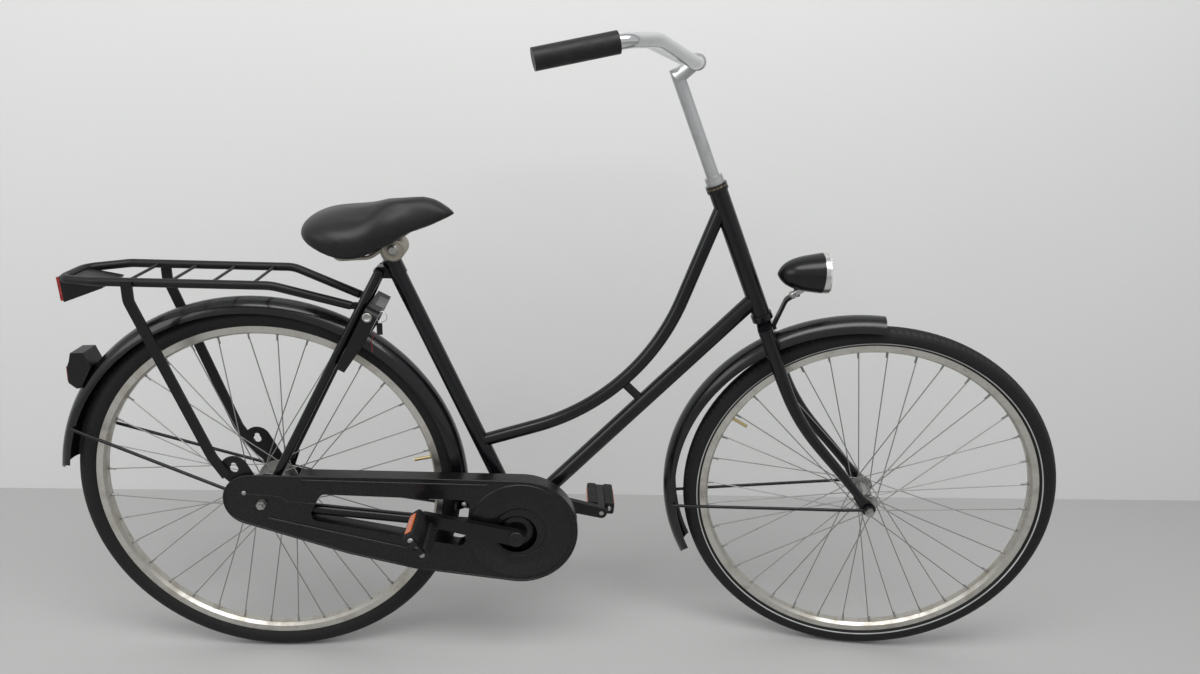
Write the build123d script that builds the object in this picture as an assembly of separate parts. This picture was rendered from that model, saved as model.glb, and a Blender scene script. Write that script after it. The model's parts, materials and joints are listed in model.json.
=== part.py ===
from build123d import *
import os
from math import cos, radians, sin, sqrt

# A loop-frame city bicycle, in millimetres.
# X points forward, Y to the rider's left, Z up. While the pieces are built, the origin is on the
# ground under the rear axle. save() then moves it to where the rider sits, on top of the saddle.

# Overall sizes
wheel_radius = 348.0
tyre_width = 37.0
head_angle = 66.4
fork_rake = 72.0
seat_angle = 65.8
bracket_gap = 108.0  # from the rear tread forward to the crank axle
bracket_drop = 59.0  # the crank axle is this far below the wheel axles
front_gap = 319.0  # from the crank axle forward to the front tread
steering_rest = -9.8  # the front wheel stands turned a little to the right
bar_rest = -2.0  # and the handlebar is clamped nearly straight

# Wheels
tyre_wall = 3.5
rim_bite = 5.0  # the rim's flanges reach this far into the tyre's section
rim_flange = 6.0
rim_depth = 16.0
rim_shoulder = 4.0
rim_width = 24.0
rim_lip = 2.5
spoke_count = 36
spoke_radius = 1.0
spoke_cross = 3
spoke_phase_front = 0.0
spoke_phase_rear = 4.5
spoke_hole_edge = 3.5
spoke_lay = 2.2
spoke_reach = 1.5
axle_radius = 5.0
running_gap = 0.05
front_hub_barrel = 14.0
front_hub_flange = 21.0
front_flange_spread = 33.0
front_hub_width = 92.0
rear_hub_barrel = 26.0
rear_hub_flange = 37.0
rear_flange_spread = 27.0
rear_hub_width = 104.0
flange_thickness = 3.0
hub_neck_share = 0.8
valve_angle_front = 152.0
valve_angle_rear = 12.0
valve_length = 32.0
valve_radius = 3.2

# Frame tubes
tube_wall = 1.5
seat_tube_radius = 14.3
seat_tube_length = 548.0
down_tube_radius = 14.3
down_head_rise = 31.0
loop_tube_radius = 12.2
loop_low_angle = 17.4
loop_high_angle = 70.9
loop_seat_height = 170.5
loop_head_drop = 26.0
loop_bend_radius = 400.0
head_tube_radius = 16.5
head_tube_wall = 2.5
head_tube_length = 238.0
head_bearing_depth = 8.0
cup_radius = 19.0
cup_height = 12.0
headset_gap = 4.0
strut_radius = 8.0
strut_station = 332.0
strut_reach = 200.0
shell_radius = 20.0
shell_width = 68.0
dropout_gap = 5.0
dropout_thickness = 5.0
dropout_width = 34.0
dropout_reach = 46.0
chain_stay_radius = 10.0
chain_stay_drop = 9.0
chain_stay_bend = 120.0
chain_stay_clear = (7.5, 16.5, 22.5)
chain_stay_end = 26.0
chain_stay_marks = (12.0, 92.0, 132.0)
seat_stay_radius = 8.0
seat_stay_top = 20.0
seat_stay_bend = 90.0
stay_guard_gap = 3.0
stay_past_guard = 30.0
stay_past_bolt = 6.0
stay_end = 24.0
lug_drop = 26.0
lug_length = 32.0
lug_wall = 2.2
ear_reach = 29.0
ear_radius = 10.0

# Axles and nuts
nut_radius = 8.6
nut_thickness = 9.0
thread_past_nut = 6.0
stay_eye_thickness = 4.0
stay_eye_radius = 11.0

# Fork, stem and bar
steerer_radius = 12.7
crown_gap = 36.5
crown_height = 27.0
crown_depth = 26.0
fork_gap = 23.5
blade_top_radius = 13.0
blade_tip_radius = 8.0
blade_bend_station = 218.0
blade_bend_radius = 420.0
blade_sections = 8
blade_tip_back = 3.0
front_dropout_gap = 4.0
front_dropout_thickness = 4.0
front_dropout_width = 26.0
front_dropout_reach = 34.0
stem_radius = 11.1
stem_rise = 213.0
stem_reach = 36.0
quill_gap = 7.0
stem_shoulder = 6.0
stem_cap = 3.0
stem_root = 6.0
stem_swell = 2.5
headset_nut_radius = 15.5
headset_nut_height = 14.0
bar_radius = 11.0
bar_wall = 1.6
bar_clamp_half = 16.0
bar_clamp_wall = 2.8
bar_back = (0.0, 7.0, 77.0, 124.0, 250.5)
bar_out = (18.0, 40.0, 165.0, 230.0, 255.0)
bar_lift = (0.0, -1.0, 31.0, 29.0, 0.0)
bar_bends = (25.0, 70.0, 100.0, 30.0)
grip_radius = 16.0
grip_length = 118.0
grip_end_wall = 3.0

# Cranks and pedals
crank_length = 170.0
crank_rest = 167.0
crank_thickness = 13.0
crank_root_radius = 15.0
crank_tip_radius = 11.0
case_gap = 5.0
spindle_radius = 8.0
pedal_axle_radius = 4.5
pedal_gap = 5.0
pedal_axle_end = 6.0
pedal_width = 92.0
pedal_depth = 54.0
pedal_height = 24.0
pedal_rest_right = 56.0
pedal_rest_left = 4.0
tread_depth = 20.0
tread_inset = 8.0
tread_round = 5.0
core_height = 15.0
core_overlap = 7.0
chainwheel_radius = 77.0
chainwheel_inset = 21.0  # from the chain case's outer face in to the chain's line
chainwheel_thickness = 3.0

# Chain case
case_wall = 2.0
case_depth = 29.0
case_front_margin = 28.0
case_front_shift = (8.0, 4.0)
case_rear_radius = 50.0
case_rear_shift = (-19.0, 6.0)
case_swell = 0.145
case_sag = 3.5
case_waist_places = (0.373, 0.636)
case_hole_radius = 38.0
case_inner_hole_radius = 14.0
case_open_front = 70.0
case_open_depth = 32.0
window_round = 13.0
window_rear = (104.0, 78.0)
window_gap_high = 8.0
window_gap_low = 18.0
window_rise = (19.0, 69.0)
window_fall = (32.0, 27.0)
stay_channel_gap = 1.5

# Mudguards
guard_gap = 9.0
guard_depth = 24.0
guard_sheet = 1.2
guard_point = 35.0
front_guard_lift = 10.0
front_guard_back = 30.0
front_guard_rise = 8.0
front_guard_start = 87.5
front_guard_end = 210.0
front_stay_angle = 189.0
rear_guard_lift = 22.5
rear_guard_back = 8.0
rear_guard_drop = 4.0
rear_guard_start = -5.0
rear_guard_end = 174.5
rear_stay_angle = 159.0
guard_stay_radius = 3.0
guard_stay_inset = 6.0
guard_stay_level = 45.0
guard_stay_sink = 0.3
guard_stay_bend = 40.0

# Carrier
rail_radius = 7.5
rail_half = 66.0
rail_lift = 56.0
rail_front = 46.0
rail_foot_drop = 40.0
rail_foot_back = 18.0
rail_tab_radius = 6.0
rail_tab_thickness = 4.0
rail_rear = 240.0
rail_back = 306.0
rail_back_half = 40.0
rail_back_drop = 4.0
rail_bends = (60.0, 30.0, 26.0)
crossbar_radius = 2.5
crossbar_first = 190.0
crossbar_last = 12.0
crossbar_count = 4
carrier_stay_width = 18.0
carrier_stay_thickness = 4.0
carrier_stay_bend = 30.0
hook_plate_thickness = 3.0
hook_centre = (-46.0, 64.0)
hook_radius = 25.0
hook_root_radius = 13.0
hook_eye = ((1.0, 7.5), (8.0, 5.0))
carrier_stay_drop = 30.0
carrier_stay_ahead = 6.0
carrier_stay_lean = 10.0

# Saddle
clamp_rise = 14.0
clamp_ahead = 16.0
clamp_radius = 20.0
clamp_half = 24.0
clamp_gap = 0.5
post_rise = 30.0
seat_post_drop = 150.0
saddle_setback = 50.0
saddle_stack = 69.0
pad_gap = 2.0
pad_tuck = 0.9
pad_shoulder = 0.62
pad_shoulder_fall = 0.22
rail_clearance = 0.3
saddle_rail_bends = (14.0, 30.0, 20.0)
saddle_rail_points = (
    (-70.0, 28.0, -52.0), (-44.0, 22.0, -88.0), (10.0, 20.0, -84.0), (92.0, 16.0, -26.5),
    (114.0, 9.0, -12.0),
)
saddle_rail_radius = 3.5
# each place along the pad from its rider point: middle height, half width, edge height, lowest edge
saddle_stations = (
    (-100.5, -37.0, 19.0, -38.0, -42.0),
    (-96.0, -25.0, 46.0, -38.0, -47.0),
    (-84.0, -15.0, 70.0, -37.0, -54.0),
    (-62.0, -6.0, 89.0, -37.0, -63.0),
    (-33.0, -2.0, 98.0, -38.0, -72.0),
    (-5.0, 0.0, 94.0, -37.0, -74.0),
    (25.0, 5.5, 76.0, -31.0, -64.0),
    (55.0, 12.0, 50.0, -22.0, -49.0),
    (85.0, 16.5, 34.0, -13.0, -34.0),
    (110.0, 17.5, 27.0, -9.0, -26.0),
    (130.0, 10.0, 22.0, -8.0, -19.0),
    (146.0, -1.0, 14.0, -8.5, -13.0),
    (153.5, -6.5, 6.0, -9.0, -11.0),
)

# Lamps and lock
lamp_radius = 36.0
lamp_length = 76.0
lamp_bullet = ((0.0, 1.0), (0.444, 0.868), (0.806, 0.526), (1.0, 0.0))
lamp_tilt = 5.0
lamp_above_crown = 53.0
lamp_ahead = 122.0
lamp_ring = 12.0
lamp_rim = 3.0
lens_bulge = 3.0
lamp_strap_width = 16.0
lamp_strap_thickness = 5.5
lamp_strap_rise = 12.0
lamp_strap_knee = (26.0, 50.0)
lamp_strap_bends = (8.0, 12.0)
lamp_post_radius = 6.0
reflector_half = 36.0
reflector_outline = ((-6.0, 3.0), (-4.0, -42.0), (62.0, -16.0), (66.0, -10.0))
reflector_lens_outline = ((-12.0, 1.0), (-10.1, -40.0), (-4.12, -40.0), (-5.95, 1.0))
reflector_lens_rim = 2.0
tail_lamp_angle = 143.0
tail_lamp_half = 22.0
tail_lens_half = 17.0
tail_lamp_outline = (
    (-18.1, 43.0), (4.0, 44.0), (14.0, 18.0), (-8.1, -22.0), (-16.1, -23.0), (-28.1, -13.0), (-27.1, 17.0),
    (-22.1, 28.0),
)
tail_lens_outline = ((-28.15, -13.0), (-32.0, -12.0), (-31.0, 16.0), (-27.15, 17.0))
lock_station_gap = 8.0
lock_stay_gap = 1.5
lock_inner_gap = 12.5
lock_band = 22.0
lock_round = 14.0
lock_top_depth = 24.0
lock_low_depth = 16.0
lock_leg = 62.0

os.makedirs("parts", exist_ok=True)

sideways = Vector(0, 1, 0)
bracket_forward = wheel_radius + bracket_gap
wheelbase = bracket_forward + front_gap + wheel_radius
axle_height = wheel_radius
tyre_radius = tyre_width / 2
tyre_centre = wheel_radius - tyre_radius
rim_flange_radius = wheel_radius - tyre_width + rim_bite
rim_seat_radius = rim_flange_radius - rim_flange
rim_inner_radius = rim_flange_radius - rim_depth
up_axis = Vector(-cos(radians(head_angle)), 0, sin(radians(head_angle)))
ahead_axis = Vector(sin(radians(head_angle)), 0, cos(radians(head_angle)))
front_axle = Vector(wheelbase, 0, axle_height)
rear_axle = Vector(0, 0, axle_height)
head_foot = front_axle - ahead_axis * fork_rake
bracket = Vector(bracket_forward, 0, axle_height - bracket_drop)
seat_up = Vector(-cos(radians(seat_angle)), 0, sin(radians(seat_angle)))
seat_ahead = Vector(sin(radians(seat_angle)), 0, cos(radians(seat_angle)))
seat_top = bracket + seat_up * seat_tube_length
clamp_centre = seat_top + seat_up * clamp_rise + seat_ahead * clamp_ahead
rider = clamp_centre + Vector(-saddle_setback, 0, saddle_stack)

crown_low = sqrt(wheel_radius**2 - fork_rake**2) + crown_gap
crown_high = crown_low + crown_height
head_tube_low = crown_high + headset_gap + cup_height
head_tube_high = head_tube_low + head_tube_length
steerer_top = head_tube_high + cup_height
stem_station = head_tube_high + stem_rise
blade_spread = tyre_radius + fork_gap
guard_half_width = tyre_radius + guard_gap
front_guard_radius = wheel_radius + front_guard_lift
rear_guard_radius = wheel_radius + rear_guard_lift

# What is stacked outwards on each axle
dropout_half = rear_hub_width / 2 + dropout_gap
hook_inner = dropout_half + dropout_thickness
hook_outer = hook_inner + hook_plate_thickness
rear_eye_outer = hook_outer + stay_eye_thickness
case_outer = rear_eye_outer + case_wall
case_inner = case_outer - case_depth
chainwheel_line = case_outer - chainwheel_inset
crank_inner = case_outer + case_gap
front_dropout_half = front_hub_width / 2 + front_dropout_gap
front_plate = front_dropout_half + front_dropout_thickness
front_eye_outer = front_plate + stay_eye_thickness

steering = Axis(head_foot, up_axis)


def head(station, ahead=0.0, side=0.0):
    """A point at a station up the steering axis, measured from its foot beside the front axle."""
    return head_foot + up_axis * station + ahead_axis * ahead + sideways * side


def around(angle):
    """The way out from a wheel's axle, at an angle up from straight ahead."""
    return Vector(cos(radians(angle)), 0, sin(radians(angle)))


def rod(start, end, radius):
    span = end - start
    return Solid.make_cylinder(radius, span.length, Plane(origin=start, z_dir=span))


def cross_rod(centre, half, radius):
    return rod(centre - sideways * half, centre + sideways * half, radius)


def cone(start, end, radius_start, radius_end):
    span = end - start
    return Solid.make_cone(radius_start, radius_end, span.length, Plane(origin=start, z_dir=span))


def bent(points, radii, radius):
    path = FilletPolyline(*points, radius=radii)
    section = Plane(origin=path @ 0, z_dir=path % 0) * Circle(radius)
    return sweep(section, path=path)


def strap(points, radii, across, through):
    """A flat bar bent along its points, so wide to the side and so thick the other way."""
    path = FilletPolyline(*points, radius=radii)
    section = Plane(origin=path @ 0, x_dir=(0, 1, 0), z_dir=path % 0) * Rectangle(across, through)
    return sweep(section, path=path)


def slab(face, low, high):
    """A face drawn in X and Z, made solid between two distances to the left."""
    return Pos(0, high, 0) * extrude(Plane.XZ * face, high - low)


def flat(points):
    return make_face(Polyline(*points, close=True))


def hull(*rounds):
    """The shape around several circles, each given by its centre and radius."""
    edges = [edge for x, z, radius in rounds for edge in (Pos(x, z) * Circle(radius)).edges()]
    return make_hull(edges)


def mirrored(shape):
    return mirror(shape, about=Plane.XZ)


def largest(shape):
    return shape.solids().sort_by(SortBy.VOLUME)[-1]


def together(*shapes):
    return Compound(children=[solid for shape in shapes for solid in shape.solids()])


def pair(shape):
    return together(shape, mirrored(shape))


def save(name, shape, turn=0.0):
    """Write one piece, turned about the steering axis, with the origin where the rider sits."""
    shape = shape.rotate(steering, turn) if turn else shape
    solids = (Pos(*(rider * -1)) * shape).solids()
    export_step(solids[0] if len(solids) == 1 else Compound(children=list(solids)), f"parts/{name}.step")


# Wheels

def rim_section():
    half = rim_width / 2
    shoulder = rim_inner_radius + rim_shoulder
    return flat([
        (rim_inner_radius, -half / 2),
        (shoulder, -half),
        (rim_flange_radius, -half),
        (rim_flange_radius, rim_lip - half),
        (rim_seat_radius, rim_lip - half),
        (rim_seat_radius, half - rim_lip),
        (rim_flange_radius, half - rim_lip),
        (rim_flange_radius, half),
        (shoulder, half),
        (rim_inner_radius, half / 2),
    ])


def tyre(centre):
    outside = Pos(tyre_centre, 0) * Circle(tyre_radius)
    hollow = Pos(tyre_centre, 0) * Circle(tyre_radius - tyre_wall)
    mouth = Pos(tyre_centre - tyre_radius, 0) * Rectangle(tyre_radius, rim_width / 2)
    return Pos(*centre) * revolve(outside - hollow - mouth - rim_section(), Axis.Y)


def valve(centre, angle):
    inner = rim_inner_radius - valve_length
    return rod(centre + around(angle) * inner, centre + around(angle) * rim_seat_radius, valve_radius)


def hub(centre, barrel, flange, spread, width):
    half = width / 2
    inner = spread - flange_thickness / 2
    outer = spread + flange_thickness / 2
    bore = axle_radius + running_gap
    neck = barrel * hub_neck_share
    right = [
        (bore, -half), (neck, -half), (neck, -outer), (flange, -outer), (flange, -inner), (barrel, -inner),
    ]
    left = [(radius, -side) for radius, side in reversed(right)]
    return Pos(*centre) * revolve(flat(right + left), Axis.Y)


def spokes(centre, flange, spread, phase):
    """Crossed spokes: each flange has half of them, leaning forwards and backwards by turns."""
    step = 360.0 / spoke_count
    strands = []
    for side in (-1, 1):
        for number in range(spoke_count // 2):
            at_rim = phase + step * (2 * number + (side + 1) / 2)
            sense = 1 if number % 2 else -1
            at_hub = at_rim + sense * step * 2 * spoke_cross
            root_side = side * (spread + sense * spoke_lay)
            tip_side = side * (spoke_reach + sense * spoke_radius / 2)
            root = around(at_hub) * (flange - spoke_hole_edge) + sideways * root_side
            tip = around(at_rim) * rim_inner_radius + sideways * tip_side
            strands.append(rod(centre + root, centre + tip, spoke_radius))
    return strands


def wheel(prefix, centre, hub_sizes, valve_angle, spoke_phase, turn):
    barrel, flange, spread, width = hub_sizes
    body = hub(centre, barrel, flange, spread, width)
    stem_of_valve = valve(centre, valve_angle)
    ring = Pos(*centre) * revolve(rim_section(), Axis.Y) - stem_of_valve
    save(prefix + "_tyre", tyre(centre), turn)
    save(prefix + "_rim", ring, turn)
    save(prefix + "_hub", body, turn)
    strands = spokes(centre, flange, spread, spoke_phase)
    save(prefix + "_spokes", together(*(strand - body - ring for strand in strands)), turn)
    save(prefix + "_valve", stem_of_valve, turn)


front_hub_sizes = (front_hub_barrel, front_hub_flange, front_flange_spread, front_hub_width)
rear_hub_sizes = (rear_hub_barrel, rear_hub_flange, rear_flange_spread, rear_hub_width)
wheel("front", front_axle, front_hub_sizes, valve_angle_front, spoke_phase_front, steering_rest)
wheel("rear", rear_axle, rear_hub_sizes, valve_angle_rear, spoke_phase_rear, 0.0)

# Frame

shell_outside = cross_rod(bracket, shell_width / 2, shell_radius)
shell = shell_outside - cross_rod(bracket, shell_width / 2, spindle_radius + running_gap)
save("bottom_bracket_shell", shell)

head_outside = rod(head(head_tube_low), head(head_tube_high), head_tube_radius)
low_cup = rod(head(head_tube_low - cup_height), head(head_tube_low), cup_radius)
high_cup = rod(head(head_tube_high), head(steerer_top), cup_radius)
steerer_bore = rod(head(head_tube_low - cup_height), head(steerer_top), steerer_radius + running_gap)
head_inside = rod(
    head(head_tube_low + head_bearing_depth), head(head_tube_high - head_bearing_depth),
    head_tube_radius - head_tube_wall,
)
save("head_tube", head_outside - head_inside - steerer_bore)
save("headset_cups", together(low_cup - steerer_bore, high_cup - steerer_bore))

post_radius = seat_tube_radius - tube_wall
seat_outside = rod(bracket, seat_top, seat_tube_radius)
post_bore = rod(bracket + seat_up * shell_radius, seat_top, post_radius)

down_end = head(head_tube_low + down_head_rise)
down_outside = rod(bracket, down_end, down_tube_radius)
down_inside = rod(bracket, down_end, down_tube_radius - tube_wall)
save("down_tube", largest(down_outside - down_inside - shell_outside - head_outside - seat_outside))

low_way = around(loop_low_angle)
high_way = around(loop_high_angle)
loop_start = bracket + seat_up * loop_seat_height
loop_end = head(head_tube_high - loop_head_drop)
span = loop_end - loop_start
low_run = (span.X * high_way.Z - span.Z * high_way.X) / (low_way.X * high_way.Z - low_way.Z * high_way.X)
loop_path = [loop_start, loop_start + low_way * low_run, loop_end]
loop_outside = bent(loop_path, [loop_bend_radius], loop_tube_radius)
loop_inside = bent(loop_path, [loop_bend_radius], loop_tube_radius - tube_wall)
save("loop_tube", largest(loop_outside - loop_inside - seat_outside - head_outside))

down_way = (down_end - bracket).normalized()
strut_foot = bracket + down_way * strut_station
strut_lift = Vector(-down_way.Z, 0, down_way.X)
strut = rod(strut_foot, strut_foot + strut_lift * strut_reach, strut_radius) - down_outside - loop_outside
save("frame_strut", strut.solids().sort_by(Axis(strut_foot, strut_lift))[0])


def dropout(centre, inner, thickness, towards, reach, width):
    """A plate at an axle's end, reaching towards the stays that it joins."""
    tip = centre + towards.normalized() * reach
    blank = slab(hull((centre.X, centre.Z, width / 2), (tip.X, tip.Z, width / 3)), inner, inner + thickness)
    return blank - cross_rod(centre, inner + 2 * thickness, axle_radius)


stay_bolt = bracket + seat_up * (seat_tube_length - lug_drop) - Vector(ear_reach, 0, 0)
stay_way = (stay_bolt - rear_axle).normalized()
stay_ahead = Vector(stay_way.Z, 0, -stay_way.X)
stay_knee = rear_axle + stay_way * (rear_guard_radius + stay_past_guard)
seat_stay_points = [
    rear_axle + stay_way * stay_end + sideways * (dropout_half - dropout_thickness / 2),
    stay_knee + sideways * (guard_half_width + stay_guard_gap + seat_stay_radius),
    stay_bolt + stay_way * stay_past_bolt + sideways * seat_stay_top,
]
chain_stay_way = (rear_axle - bracket).normalized()
chain_stay_line = [
    bracket + chain_stay_way * mark - Vector(0, 0, chain_stay_drop) for mark in chain_stay_marks
]
chain_stay_points = [
    place + sideways * (tyre_radius + clear) for place, clear in zip(chain_stay_line, chain_stay_clear)
]
chain_stay_points.append(
    rear_axle - chain_stay_way * chain_stay_end - Vector(0, 0, chain_stay_drop)
    + sideways * (dropout_half - dropout_thickness / 2)
)
dropout_sizes = (dropout_reach, dropout_width)
drop_low = dropout(rear_axle, dropout_half, dropout_thickness, bracket - rear_axle, *dropout_sizes)
drop_high = dropout(rear_axle, dropout_half, dropout_thickness, stay_way, *dropout_sizes)
rear_dropout = drop_low + drop_high
seat_stay = largest(bent(seat_stay_points, [seat_stay_bend], seat_stay_radius) - rear_dropout)
chain_stay_bends = [chain_stay_bend, chain_stay_bend]
chain_stay = bent(chain_stay_points, chain_stay_bends, chain_stay_radius)
chain_stay = largest(chain_stay - rear_dropout - shell_outside)
save("seat_stays", pair(seat_stay))
save("chain_stays", pair(chain_stay))
save("rear_dropouts", pair(rear_dropout))

lug_foot = seat_top - seat_up * lug_length
lug = rod(lug_foot, seat_top, seat_tube_radius + lug_wall)
ear_face = hull(
    (stay_bolt.X, stay_bolt.Z, ear_radius), (stay_bolt.X + ear_reach, stay_bolt.Z, ear_radius)
)
ear_half = seat_stay_top - seat_stay_radius
ears = slab(ear_face, -ear_half, ear_half)
seat_tube = seat_outside + lug + ears - post_bore - shell_outside
save("seat_tube", largest(seat_tube - pair(seat_stay)))

# Axles and nuts


def nut(centre, inner, sign):
    """A hexagon axle nut with its inner face at a distance to one side."""
    hexagon = extrude(RegularPolygon(nut_radius, 6), nut_thickness)
    blank = Pos(centre.X, 0, centre.Z) * Rot(90, 0, 0) * hexagon
    return Pos(0, inner + nut_thickness if sign > 0 else -inner, 0) * blank


def axle(centre, left_face, right_face):
    past = nut_thickness + thread_past_nut
    bar = rod(centre - sideways * (right_face + past), centre + sideways * (left_face + past), axle_radius)
    return bar + nut(centre, left_face, 1) + nut(centre, right_face, -1)


save("rear_axle", axle(rear_axle, rear_eye_outer, case_outer))
save("front_axle", axle(front_axle, front_eye_outer, front_eye_outer), steering_rest)

# Seat post, clamp and saddle

seat_post = rod(seat_top - seat_up * seat_post_drop, seat_top + seat_up * post_rise, post_radius)
save("seat_post", seat_post)
clamp_drum = cross_rod(clamp_centre, clamp_half, clamp_radius)
lug_room = rod(lug_foot, seat_top + seat_up * clamp_gap, seat_tube_radius + lug_wall + clamp_gap)
save("saddle_clamp", largest(clamp_drum - seat_post - lug_room))


def pad_section(station):
    """Across the saddle pad: an arch over a level lower edge."""
    along, middle, half, edge, low = station
    shoulder = middle - (middle - edge) * pad_shoulder_fall
    arch = Spline(
        (-half * pad_tuck, low), (-half, edge), (-half * pad_shoulder, shoulder), (0, middle),
        (half * pad_shoulder, shoulder), (half, edge), (half * pad_tuck, low),
    )
    face = make_face(arch + Line((half * pad_tuck, low), (-half * pad_tuck, low)))
    return Plane(origin=rider + Vector(along, 0, 0), x_dir=(0, 1, 0), z_dir=(1, 0, 0)) * face


pad = loft([pad_section(station) for station in saddle_stations])
pad = pad - cross_rod(clamp_centre, clamp_half + pad_gap, clamp_radius + pad_gap)
pad = pad - rod(seat_top, seat_top + seat_up * (post_rise + pad_gap), post_radius + pad_gap)
wire_points = [rider + Vector(*point) for point in saddle_rail_points]
saddle_rail = bent(wire_points, saddle_rail_bends, saddle_rail_radius)
rail_room = bent(wire_points, saddle_rail_bends, saddle_rail_radius + rail_clearance)
save("saddle_pad", largest(pad - rail_room - mirrored(rail_room)))
save("saddle_rails", pair(saddle_rail - clamp_drum))

# Chain case

case_way = bracket - rear_axle
case_front = bracket + Vector(case_front_shift[0], 0, case_front_shift[1])
case_rear = rear_axle + Vector(case_rear_shift[0], 0, case_rear_shift[1])
case_front_radius = chainwheel_radius + case_front_margin


def case_outline(inset):
    """The case seen from the side, around its two ends and two rounds between them."""
    rounds = [(case_front.X, case_front.Z, case_front_radius - inset)]
    for place in case_waist_places:
        centre = rear_axle + case_way * place
        radius = case_rear_radius + (case_front_radius - case_rear_radius) * (place + case_swell)
        rounds.append((centre.X, centre.Z - case_sag, radius - inset))
    rounds.append((case_rear.X, case_rear.Z, case_rear_radius - inset))
    return hull(*rounds)


def case_window(inset):
    high_front = bracket.X - chainwheel_radius - window_gap_high
    low_front = bracket.X - chainwheel_radius - window_gap_low
    opening = flat([
        (rear_axle.X + window_rear[0], rear_axle.Z + window_rise[0]),
        (high_front, bracket.Z + window_rise[1]),
        (low_front, bracket.Z - window_fall[1]),
        (rear_axle.X + window_rear[1], rear_axle.Z - window_fall[0]),
    ])
    rounded = fillet(opening.vertices(), window_round)
    return offset(rounded, inset) if inset else rounded


def case_bore(inner, outer, radius):
    return rod(bracket - sideways * outer, bracket - sideways * inner, radius)


case_body = slab(case_outline(0) - case_window(0), -case_outer, -case_inner)
case_cavity = slab(
    case_outline(case_wall) - case_window(case_wall), case_wall - case_outer, -case_inner - case_wall
)
open_low = rear_axle + Vector(case_open_front - case_front_radius * 2, 0, -case_open_depth)
open_high = rear_axle + Vector(case_open_front, 0, case_front_radius)
open_face = flat([
    (open_low.X, open_low.Z),
    (open_high.X, open_low.Z),
    (open_high.X, open_high.Z),
    (open_low.X, open_high.Z),
])
rear_opening = slab(open_face, case_wall - case_outer, case_wall - case_inner)
case_hole = case_bore(case_outer - 2 * case_wall, case_outer + case_wall, case_hole_radius)
inner_hole = case_bore(case_inner - case_wall, case_inner + 2 * case_wall, case_inner_hole_radius)
axle_hole = rod(rear_axle - sideways * (case_outer + case_wall), rear_axle, axle_radius)
collar = case_bore(shell_width / 2, case_inner, shell_radius)
collar = collar - case_bore(shell_width / 2, case_inner, case_inner_hole_radius)
stay_channel = bent(chain_stay_points, chain_stay_bends, chain_stay_radius + stay_channel_gap)
chain_case = case_body - case_cavity - rear_opening - case_hole - inner_hole - axle_hole + collar
save("chain_case", largest(chain_case - mirrored(stay_channel)))

# Cranks and pedals

crank_outer = crank_inner + crank_thickness
spindle = cross_rod(bracket, crank_outer, spindle_radius)
save("crank_spindle", spindle)


def crank(way, sign):
    tip = bracket + way * crank_length
    low, high = sorted((sign * crank_inner, sign * crank_outer))
    arm = slab(hull((bracket.X, bracket.Z, crank_root_radius), (tip.X, tip.Z, crank_tip_radius)), low, high)
    return arm - spindle - cross_rod(tip, crank_outer + crank_thickness, pedal_axle_radius)


def pedal_axle(way, sign):
    tip = bracket + way * crank_length
    end = crank_outer + pedal_gap + pedal_width - pedal_axle_end
    return rod(tip + sideways * sign * crank_inner, tip + sideways * sign * end, pedal_axle_radius)


def pedal(way, sign, rest):
    """A block pedal: two rubber treads on a core with a bore for the axle."""
    centre = bracket + way * crank_length + sideways * sign * (crank_outer + pedal_gap + pedal_width / 2)
    core_depth = pedal_depth - 2 * tread_depth + 2 * core_overlap
    core = Pos(*centre) * Box(core_depth, pedal_width, core_height)
    core = core - cross_rod(centre, pedal_width, pedal_axle_radius + running_gap)
    tread = Box(tread_depth, pedal_width - tread_inset, pedal_height)
    tread = fillet(tread.edges().filter_by(Axis.Y), tread_round)
    reach = (pedal_depth - tread_depth) / 2
    treads = [Pos(*(centre + Vector(end * reach, 0, 0))) * tread for end in (-1, 1)]
    pivot = Axis(centre, sideways)
    core = largest(core - treads[0] - treads[1])
    return core.rotate(pivot, rest), [block.rotate(pivot, rest) for block in treads]


crank_way = around(crank_rest)
sides = (("right", crank_way, -1, pedal_rest_right), ("left", crank_way * -1, 1, pedal_rest_left))
save("crank_arms", together(*(crank(way, sign) for side, way, sign, rest in sides)))
save("pedal_axles", together(*(pedal_axle(way, sign) for side, way, sign, rest in sides)))
for side, way, sign, rest in sides:
    core, treads = pedal(way, sign, rest)
    save(f"pedal_core_{side}", core)
    save(f"pedal_treads_{side}", together(*treads))

ring_half = chainwheel_thickness / 2
ring_centre = bracket - sideways * chainwheel_line
save("chainwheel", cross_rod(ring_centre, ring_half, chainwheel_radius) - spindle)

# Fork

steerer = rod(head(crown_low), head(steerer_top), steerer_radius)
quill_room = rod(head(crown_high + quill_gap), head(steerer_top), stem_radius)
front_blade_end = front_dropout_half + front_dropout_thickness / 2
crown_plane = Plane(origin=head(crown_low + crown_height / 2), x_dir=ahead_axis, z_dir=up_axis)
crown_block = crown_plane * Box(crown_depth, 2 * blade_spread, crown_height)


def blade(side):
    """A tapered fork blade, straight down the steering axis and then curving to the axle."""
    top = head(crown_high, 0, side * blade_spread)
    bend = head(blade_bend_station, 0, side * (blade_spread + front_blade_end) / 2)
    tip = head(front_dropout_reach / 2, fork_rake - blade_tip_back, side * front_blade_end)
    path = FilletPolyline(top, bend, tip, radius=[blade_bend_radius])
    stations = []
    for number in range(blade_sections):
        share = number / (blade_sections - 1)
        radius = blade_top_radius + (blade_tip_radius - blade_top_radius) * share
        stations.append(Plane(origin=path @ share, x_dir=(0, 1, 0), z_dir=path % share) * Circle(radius))
    return loft(stations)


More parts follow.
